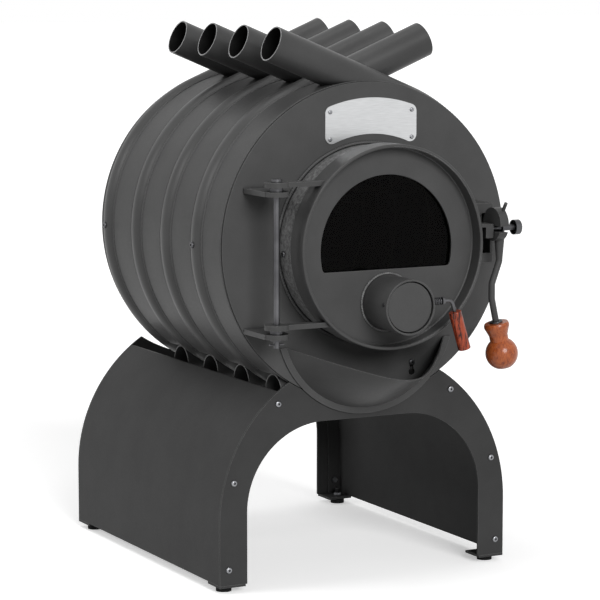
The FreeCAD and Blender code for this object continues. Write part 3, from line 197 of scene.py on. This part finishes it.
def cut_tube(side, sign, depth):
    """Stove paint with bright saw cuts at the upper mouths on one side, painted shade down the bores and a
    sooty inner side.
    """
    made = sprayed("stove_paint_with_sawn_mouth_" + side, "#454545", "#3d3d3d", 0.38, 3.5, 0.0003, 0.22)
    tree = made.node_tree
    shader = tree.nodes["Principled BSDF"]
    place = add(tree, "TexCoord").outputs["Object"]
    outward = (math.cos(tube_rise) * sign, 0, math.sin(tube_rise))
    facing = add(tree, "VectorMath", {1: outward}, {0: add(tree, "NewGeometry").outputs["True Normal"]},
                 operation="DOT_PRODUCT")
    flat = add(tree, "MapRange", {"From Min": 0.9, "From Max": 0.97}, {"Value": facing.outputs["Value"]})
    along = add(tree, "Mapping", {"Location": (0, -depth, -drum_axis)}, {"Vector": place})
    straight = add(tree, "VectorRotate", {"Angle": sign * tube_rise}, {"Vector": along.outputs["Vector"]},
                   rotation_type="Y_AXIS")
    split = add(tree, "SeparateXYZ", {}, {"Vector": straight.outputs["Vector"]})
    across = add(tree, "Math", {1: tube_pitch, 2: -tube_pitch}, {0: split.outputs["Y"]}, operation="WRAP")
    level = add(tree, "Math", {1: bend_radius}, {0: split.outputs["Z"]}, operation="SUBTRACT")
    ring = add(tree, "CombineXYZ", {}, {"Y": across.outputs[0], "Z": level.outputs[0]})
    radius = add(tree, "VectorMath", {}, {0: ring.outputs["Vector"]}, operation="LENGTH")
    # Painted shade: the bore of each tube beyond its mouth is mixed to near black.
    inside = add(tree, "MapRange", {"From Min": bore_edge, "From Max": bore_edge - 0.0006},
                 {"Value": radius.outputs["Value"]})
    run = add(tree, "MapRange", {"From Min": 0, "From Max": 0.02 * sign}, {"Value": split.outputs["X"]})
    bore = add(tree, "Math", {}, {0: inside.outputs["Result"], 1: run.outputs["Result"]},
               operation="MULTIPLY")
    round_drum = add(tree, "VectorMath", {1: (1, 0, 1)}, {0: along.outputs["Vector"]}, operation="MULTIPLY")
    drum_radius = add(tree, "VectorMath", {}, {0: round_drum.outputs["Vector"]}, operation="LENGTH")
    sooty = add(tree, "MapRange", {"From Min": fire_side, "From Max": fire_side - 0.006},
                {"Value": drum_radius.outputs["Value"]})
    dark = add(tree, "Math", {}, {0: bore.outputs[0], 1: sooty.outputs["Result"]}, operation="MAXIMUM")
    high = add(tree, "MapRange", {"From Min": 0.2, "From Max": 0.21}, {"Value": split.outputs["Z"]})
    mouth = add(tree, "Math", {}, {0: flat.outputs["Result"], 1: high.outputs["Result"]},
                operation="MULTIPLY")
    saw = add(tree, "TexNoise", {"Scale": per_mm(2.5), "Detail": 3}, {"Vector": place})
    bare = add(tree, "ValToRGB", {}, {"Fac": saw.outputs["Fac"]},
               stops=[(0.3, "#7d7d7e"), (0.7, "#b9b9ba")])
    painted = shader.inputs["Base Color"].links[0].from_socket
    tone = add(tree, "Mix", {7: linear(soot_and_bore_shade)}, {0: dark.outputs[0], 6: painted}, data_type="RGBA")
    tone = add(tree, "Mix", {}, {0: mouth.outputs[0], 6: tone.outputs[2], 7: bare.outputs["Color"]},
               data_type="RGBA")
    tree.links.new(tone.outputs[2], shader.inputs["Base Color"])
    return made


# The sawn edge is a thin pale ring that shows how thin the tube wall is; the bore behind it is painted nearly
# black as shade.
first_tube = disc_face + 0.0041 + tube_radius
wear(["left_tube_%d" % i for i in (1, 2, 3, 4)], cut_tube("left", -1, first_tube))
wear(["right_tube_%d" % i for i in (1, 2, 3, 4)], cut_tube("right", 1, first_tube + tube_pitch))

# Wall strips: flat bar rolled to the drum's curve and welded between the tubes where they part.
# A low bead of weld runs round at each seam, painted over with the rest.
strip_radius = 0.268
disc_back = disc_face + 0.002
rear_face = 0.1885


def sooted(made):
    """Blackens the sides of a paint that face the fire, inside the strips and between the discs."""
    tree = made.node_tree
    shader = tree.nodes["Principled BSDF"]
    place = add(tree, "TexCoord").outputs["Object"]
    centred = add(tree, "Mapping", {"Location": (0, 0, -drum_axis)}, {"Vector": place})
    across = add(tree, "VectorMath", {1: (1, 0, 1)}, {0: centred.outputs["Vector"]}, operation="MULTIPLY")
    radius = add(tree, "VectorMath", {}, {0: across.outputs["Vector"]}, operation="LENGTH")
    within = add(tree, "MapRange", {"From Min": strip_radius - 0.001, "From Max": strip_radius - 0.0015},
                 {"Value": radius.outputs["Value"]})
    depth = add(tree, "SeparateXYZ", {}, {"Vector": place}).outputs["Y"]
    behind = add(tree, "MapRange", {"From Min": disc_back, "From Max": disc_back + 0.0005}, {"Value": depth})
    before = add(tree, "MapRange", {"From Min": rear_face, "From Max": rear_face - 0.0005}, {"Value": depth})
    between = add(tree, "Math", {}, {0: behind.outputs["Result"], 1: before.outputs["Result"]},
                  operation="MULTIPLY")
    inside = add(tree, "Math", {}, {0: within.outputs["Result"], 1: between.outputs[0]}, operation="MULTIPLY")
    painted = shader.inputs["Base Color"].links[0].from_socket
    tone = add(tree, "Mix", {7: linear(soot_and_bore_shade)}, {0: inside.outputs[0], 6: painted}, data_type="RGBA")
    tree.links.new(tone.outputs[2], shader.inputs["Base Color"])
    return made


# Paint over rolled bar: the same grey with a slightly coarser skin, black on the side of the fire.
band_paint = sooted(sprayed("stove_paint_sprayed_over_rolled_bar", "#494949", "#414141", 0.42, 4.5, 0.0003))


def strand(name, path, half_width, half_height, ripple, pitch, body, material, closed=True):
    """A bead or rope in an upright plane: an oval section that swells along the path once per pitch."""
    shape = bmesh.new()
    sides = 8
    count = len(path)
    rings = []
    run = 0.0
    for i, point in enumerate(path):
        ahead = path[(i + 1) % count] if closed else path[min(i + 1, count - 1)]
        behind = path[i - 1] if closed else path[max(i - 1, 0)]
        along = (ahead - behind).normalized()
        outward = Vector((along.z, 0, -along.x))
        swell = 1 - ripple * (0.5 - 0.5 * math.cos(2 * math.pi * run / pitch))
        run += (ahead - point).length
        ring = []
        for k in range(sides):
            turn = 2 * math.pi * k / sides
            ring.append(shape.verts.new(point + outward * (half_width * swell * math.cos(turn))
                                        + Vector((0, half_height * swell * math.sin(turn), 0))))
        rings.append(ring)
    for i in range(count if closed else count - 1):
        for k in range(sides):
            shape.faces.new((rings[i][k], rings[i][(k + 1) % sides],
                             rings[(i + 1) % count][(k + 1) % sides], rings[(i + 1) % count][k]))
    if not closed:
        shape.faces.new(rings[0])
        shape.faces.new(rings[-1])
    bmesh.ops.recalc_face_normals(shape, faces=shape.faces)
    mesh = bpy.data.meshes.new(name)
    shape.to_mesh(mesh)
    shape.free()
    for face in mesh.polygons:
        face.use_smooth = True
    piece = bpy.data.objects.new(name, mesh)
    bpy.context.scene.collection.objects.link(piece)
    mesh.materials.append(material)
    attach(piece, body)
    return piece


def circle(radius, y, z, step, first=0.0, last=360.0):
    """Points around a circle about a fore-and-aft axis, or along the arc between two angles in degrees."""
    sweep = math.radians(last - first)
    count = int(sweep * radius / step)
    ends = count if last - first >= 360 else count + 1
    angles = [math.radians(first) + sweep * i / count for i in range(ends)]
    return [Vector((radius * math.cos(angle), y, z + radius * math.sin(angle))) for angle in angles]


wear(["%s_strip_%d" % (side, i) for side in ("left", "right") for i in (1, 2, 3, 4)], band_paint)
seam_offset = 0.0208
seam_low = -52
seam_high = 87
seam_radius = strip_radius - 0.0006
seam_front = disc_face + 0.01
seam_rear = 0.18
for i in range(4):
    for side, tube in (("left", 2 * i + 1), ("right", 2 * i)):
        depth = first_tube + tube * tube_pitch
        first, last = (seam_low, seam_high) if side == "right" else (180 - seam_high, 180 - seam_low)
        for number, y in enumerate((depth - seam_offset, depth + seam_offset)):
            if seam_front < y < seam_rear:
                strand("%s_seam_%d_%d" % (side, i + 1, number + 1),
                       circle(seam_radius, y, drum_axis, 0.003, first, last),
                       0.0024, 0.0026, 0.25, 0.0085, "stove", band_paint, closed=False)

# Drum ends: two flat discs of plate, a short rolled neck for the door, and the flue spigot behind.
# They are welded around, and a baffle lies on two ledges inside to turn the smoke forward.

# Stove paint of the drum: the same grey, a shade lighter and smoother where the plate is flat.
stove_paint = sooted(sprayed("stove_paint_sprayed_satin_anthracite", "#4d4d4d", "#454545", 0.44, 3.5, 0.0003))
wear(["front_disc", "rear_disc", "flue_spigot", "baffle_plate", "baffle_ledges"], stove_paint)
# Paint over a rough weld: paler than the rest and broken into pale and dark specks; the paleness and the pale
# specks are painted light, glints on the rough weld.
weld_paint_with_glints = sprayed("stove_paint_over_rough_weld_painted_glints", "#868686", "#4a4a4a", 0.45, 3, 0.0022, patch=6)
wear(["door_neck"], weld_paint_with_glints)
disc_seam_radius = 0.264
front_seam = disc_face + 0.0065
rear_seam = 0.1848
for name, y in (("front_seam_weld", front_seam), ("rear_seam_weld", rear_seam)):
    strand(name, circle(disc_seam_radius, y, drum_axis, 0.0015), 0.0045, 0.0045, 0.12, 0.006,
           "stove", band_paint)
neck_weld_radius = 0.1655
strand("neck_weld", circle(neck_weld_radius, disc_face - 0.0012, drum_axis, 0.0012),
       0.0035, 0.0030, 0.3, 0.0045, "stove", band_paint)
flue_weld_radius = 0.0622
flue_weld_depth = 0.1926
flue_axis = 0.7
strand("flue_weld", circle(flue_weld_radius, flue_weld_depth, flue_axis, 0.001),
       0.0030, 0.0026, 0.3, 0.0045, "stove", weld_paint_with_glints)

# Ash lip: a scoop of bent sheet under the door that catches ash and embers, welded to the front disc.
# Painted with the drum.
wear(["ash_lip"], stove_paint)

# Nameplate: a thin sheet of brushed stainless steel held by four small rivets at the top of the front disc.
# It is cut to a shallow arch and left bare.


def brushed(name, light, dark, rough):
    """Stainless sheet brushed from side to side."""
    made, tree, shader = new_material(name, Metallic=1.0, Anisotropic=0.5)
    place = add(tree, "TexCoord").outputs["Object"]
    pulled = add(tree, "Mapping", {"Scale": (0.02, 1, 1)}, {"Vector": place})
    hair = add(tree, "TexNoise", {"Scale": per_mm(0.35), "Detail": 2}, {"Vector": pulled.outputs["Vector"]})
    tone = add(tree, "ValToRGB", {}, {"Fac": hair.outputs["Fac"]}, stops=[(0.3, dark), (0.7, light)])
    gloss = add(tree, "MapRange", {"To Min": rough - 0.08, "To Max": rough + 0.08},
                {"Value": hair.outputs["Fac"]})
    relief = add(tree, "Bump", {"Strength": 0.08, "Distance": 0.0001}, {"Height": hair.outputs["Fac"]})
    tree.links.new(tone.outputs["Color"], shader.inputs["Base Color"])
    tree.links.new(gloss.outputs["Result"], shader.inputs["Roughness"])
    tree.links.new(relief.outputs["Normal"], shader.inputs["Normal"])
    return made


# Brushed stainless: pale, with hairlines that run along the plate.
wear(["name_plate"], brushed("stainless_sheet_brushed", "#c9cacb", "#b6b7b8", 0.36))
wear(["plate_rivets"], zinc)

# Hinge: two lugs of flat bar welded to the neck, a pin with spacers, washer and cotter, and two door arms.
# The bar is painted with the stove; the pin and its small parts are left as turned steel.
wear(["hinge_lugs", "door_arms", "latch_keeper", "latch_bracket"], band_paint)
# Turned steel, oiled and blued by the heat: a dark grey that is half bright.
turned_steel = plated("steel_turned_and_oiled", "#5c5c5e", "#4c4c4e", 0.42, 30)
wear(["hinge_pin", "hinge_washers", "cotter_pin", "pivot_bolt", "spring_stop", "drum_screws"], turned_steel)

# Door: a round pan of pressed sheet with a rolled rim, a D-shaped pane held behind it by four clips, and rope
# seals of glass fibre where the pane and the neck meet it.
wear(["door_pan", "glass_clips"], stove_paint)
# Glass-fibre rope: dark, dull, with the bumps of its plait.
rope, tree, shader = new_material("glass_fibre_rope_plaited", Roughness=0.95, Specular_IOR_Level=0.1)
place = add(tree, "TexCoord").outputs["Object"]
plait = add(tree, "TexVoronoi", {"Scale": per_mm(1.6)}, {"Vector": place})
tone = add(tree, "ValToRGB", {}, {"Fac": plait.outputs["Distance"]},
           stops=[(0.1, "#4a4743"), (0.7, "#262422")])
relief = add(tree, "Bump", {"Strength": 0.6, "Distance": 0.0006}, {"Height": plait.outputs["Distance"]},
             invert=True)
tree.links.new(tone.outputs["Color"], shader.inputs["Base Color"])
tree.links.new(relief.outputs["Normal"], shader.inputs["Normal"])
rope_radius = 0.1621
rope_depth = -0.35965
seal = strand("neck_rope", circle(rope_radius, rope_depth, drum_axis, 0.0012),
              0.0034, 0.0042, 0.18, 0.004, "door", rope)
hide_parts("door_seal")
pane_height = drum_axis - 0.005


def window_line(radius, drop, corner, y, step):
    """The outline of the pane: a circle cut off level below, with rounded corners."""
    inner = radius - corner
    low = corner - drop
    side = math.sqrt(inner ** 2 - low ** 2)
    start = math.atan2(low, side)
    runs = [(0, 0, radius, start, math.pi - start), (-side, low, corner, math.pi - start, 1.5 * math.pi)]
    runs += [(side, low, corner, 1.5 * math.pi, 2 * math.pi + start)]
    points = []
    for x, z, r, first, last in runs:
        count = max(4, int(r * (last - first) / step))
        points += [Vector((x + r * math.cos(first + (last - first) * i / count), y,
                           pane_height + z + r * math.sin(first + (last - first) * i / count)))
                   for i in range(count + 1)]
        if x < 0:
            count = int(2 * side / step)
            points += [Vector((-side + 2 * side * i / count, y, pane_height - drop)) for i in range(1, count)]
    return points


tape_radius = 0.127
tape_drop = 0.037
tape_corner = 0.011
tape_depth = -0.363
tape = strand("pane_rope", window_line(tape_radius, tape_drop, tape_corner, tape_depth, 0.0012),
              0.0038, 0.00095, 0.12, 0.003, "door", rope)
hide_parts("glass_gasket")

# Stove glass: a flat ceramic pane, smoked brown by the fire. It looks black against the dark chamber and
# brown against the light.
glass, tree, shader = new_material("ceramic_stove_glass_polished", Transmission_Weight=1.0, IOR=1.12,
                                   Roughness=0.0)
place = add(tree, "TexCoord").outputs["Object"]
haze = add(tree, "TexNoise", {"Scale": per_mm(60), "Detail": 4}, {"Vector": place})
tone = add(tree, "ValToRGB", {}, {"Fac": haze.outputs["Fac"]}, stops=[(0.3, "#4e453d"), (0.7, "#5c534b")])
tree.links.new(tone.outputs["Color"], shader.inputs["Base Color"])
wear(["window_glass"], glass)

# Air intake: a short tube welded to the door, with a throttle disc on a shaft across its mouth.
# The shaft is bent down into a lever with a wooden grip, and a coil spring on it holds the disc where it
# is set.
wear(["air_intake", "throttle_disc"], stove_paint)
intake_weld_radius = 0.0471
intake_weld_depth = -0.369
intake_axis = 0.478
strand("intake_weld", circle(intake_weld_radius, intake_weld_depth, intake_axis, 0.001),
       0.0026, 0.0022, 0.3, 0.004, "door", weld_paint_with_glints)
wear(["air_lever", "lever_spring"], turned_steel)


def hardwood(name, stops, scale, stretch, coat, shine):
    """Turned hardwood: dark grain drawn out along the piece under a clear coat."""
    made, tree, shader = new_material(name, Coat_Weight=coat, Coat_Roughness=shine, Specular_IOR_Level=0.2)
    place = add(tree, "TexCoord").outputs["Object"]
    pulled = add(tree, "Mapping", {"Scale": stretch}, {"Vector": place})
    bend = add(tree, "TexNoise", {"Scale": per_mm(scale), "Detail": 5, "Distortion": 0.6},
               {"Vector": pulled.outputs["Vector"]})
    pores = add(tree, "TexNoise", {"Scale": per_mm(scale / 6), "Detail": 2},
                {"Vector": pulled.outputs["Vector"]})
    both = add(tree, "Mix", {0: 0.3}, {2: bend.outputs["Fac"], 3: pores.outputs["Fac"]})
    tone = add(tree, "ValToRGB", {}, {"Fac": both.outputs[0]}, stops=stops)
    gloss = add(tree, "MapRange", {"To Min": 0.3, "To Max": 0.55}, {"Value": pores.outputs["Fac"]})
    relief = add(tree, "Bump", {"Strength": 0.15, "Distance": 0.0003}, {"Height": both.outputs[0]})
    tree.links.new(tone.outputs["Color"], shader.inputs["Base Color"])
    tree.links.new(gloss.outputs["Result"], shader.inputs["Roughness"])
    tree.links.new(relief.outputs["Normal"], shader.inputs["Normal"])
    return made


# Grip wood: reddish under a thin clear coat, with strong dark streaks along it.
grip_wood = hardwood("rosewood_turned_and_waxed", [(0.42, "#2e0d07"), (0.5, "#8a351b"), (0.62, "#a9492a")],
                     3.5, (1, 1, 0.12), 0.35, 0.2)
wear(["air_grip"], grip_wood)

# Door handle: a disc on the pivot bolt with a hook that enters the keeper, and a bent rod with a turned bulb.
# Disc, hook and rod are welded and painted, the bulb is hardwood under a steel ferrule.
wear(["handle_lever"], band_paint)
wear(["handle_ferrule"], turned_steel)
# Bulb wood: warm brown under a clear varnish with a sharp highlight.
bulb_wood = hardwood("beech_turned_stained_and_varnished",
                     [(0.3, "#6a2d14"), (0.5, "#a05026"), (0.7, "#b66434")], 4, (1, 1, 0.5), 0.45, 0.14)
wear(["handle_knob"], bulb_wood)

# Studio: a white floor under white air, as in a catalogue picture. A broad lamp shines from the front and
# above, weaker ones from the left and from overhead.
reach = 30
floor_mesh = bpy.data.meshes.new("studio_floor")
corners = [(-reach, -reach, 0), (reach, -reach, 0), (reach, reach, 0), (-reach, reach, 0)]
floor_mesh.from_pydata(corners, [], [(0, 1, 2, 3)])
floor = bpy.data.objects.new("studio_floor", floor_mesh)
bpy.context.scene.collection.objects.link(floor)
# White paper: plain and even, it takes the soft shadow under the feet and throws little light back up.
paper, tree, shader = new_material("studio_paper_white", Roughness=0.9, Specular_IOR_Level=0.1)


def looked_at(tree):
    """1 where the eye looks, straight, in a mirror or through glass, and 0 where light only bounces."""
    ray = add(tree, "LightPath")
    seen = add(tree, "Math", {}, {0: ray.outputs["Is Camera Ray"], 1: ray.outputs["Is Glossy Ray"]},
               operation="ADD")
    seen = add(tree, "Math", {}, {0: seen.outputs[0], 1: ray.outputs["Is Transmission Ray"]}, operation="ADD",
               use_clamp=True)
    return seen.outputs[0]


eye_ray = looked_at(tree)
tone = add(tree, "Mix", {6: linear("#bcbcbc"), 7: linear("#fafafa")}, {0: eye_ray}, data_type="RGBA")
glow = add(tree, "MapRange", {"To Max": 0.42}, {"Value": eye_ray})
tree.links.new(tone.outputs[2], shader.inputs["Base Color"])
tree.links.new(glow.outputs["Result"], shader.inputs["Emission Strength"])
fibre = add(tree, "TexNoise", {"Scale": per_mm(5)}, {"Vector": add(tree, "TexCoord").outputs["Object"]})
relief = add(tree, "Bump", {"Strength": 0.02, "Distance": 0.0001}, {"Height": fibre.outputs["Fac"]})
tree.links.new(relief.outputs["Normal"], shader.inputs["Normal"])
floor_mesh.materials.append(paper)

world = bpy.data.worlds.new("studio_air")
bpy.context.scene.world = world
world.use_nodes = True
tree = world.node_tree
level = add(tree, "MapRange", {"To Min": 0.27, "To Max": 1.0}, {"Value": looked_at(tree)})
tree.nodes["Background"].inputs["Color"].default_value = linear("#ffffff")
tree.links.new(level.outputs["Result"], tree.nodes["Background"].inputs["Strength"])


def lamp(name, towards, strength, spread):
    """A far, soft lamp that shines from the given side."""
    light = bpy.data.lights.new(name, "SUN")
    light.energy = strength
    light.angle = math.radians(spread)
    piece = bpy.data.objects.new(name, light)
    piece.rotation_euler = Vector(towards).to_track_quat("Z", "Y").to_euler()
    bpy.context.scene.collection.objects.link(piece)


lamp("key_lamp", (-0.1, -1, 0.46), 2.3, 28)
lamp("side_lamp", (-1, 0.15, 0.6), 0.7, 20)
lamp("top_lamp", (-0.15, 0.1, 1), 0.45, 30)

eye = bpy.data.cameras.new("eye")
eye.lens = 161.335
eye.sensor_width = 36
camera = bpy.data.objects.new("eye", eye)
camera.location = (-2.1485, -4.1885, 1.0594)
camera.rotation_euler = (math.radians(82.48), 0, math.radians(-27.49))
bpy.context.scene.collection.objects.link(camera)
bpy.context.scene.camera = camera
bpy.context.scene.view_settings.view_transform = "Standard"
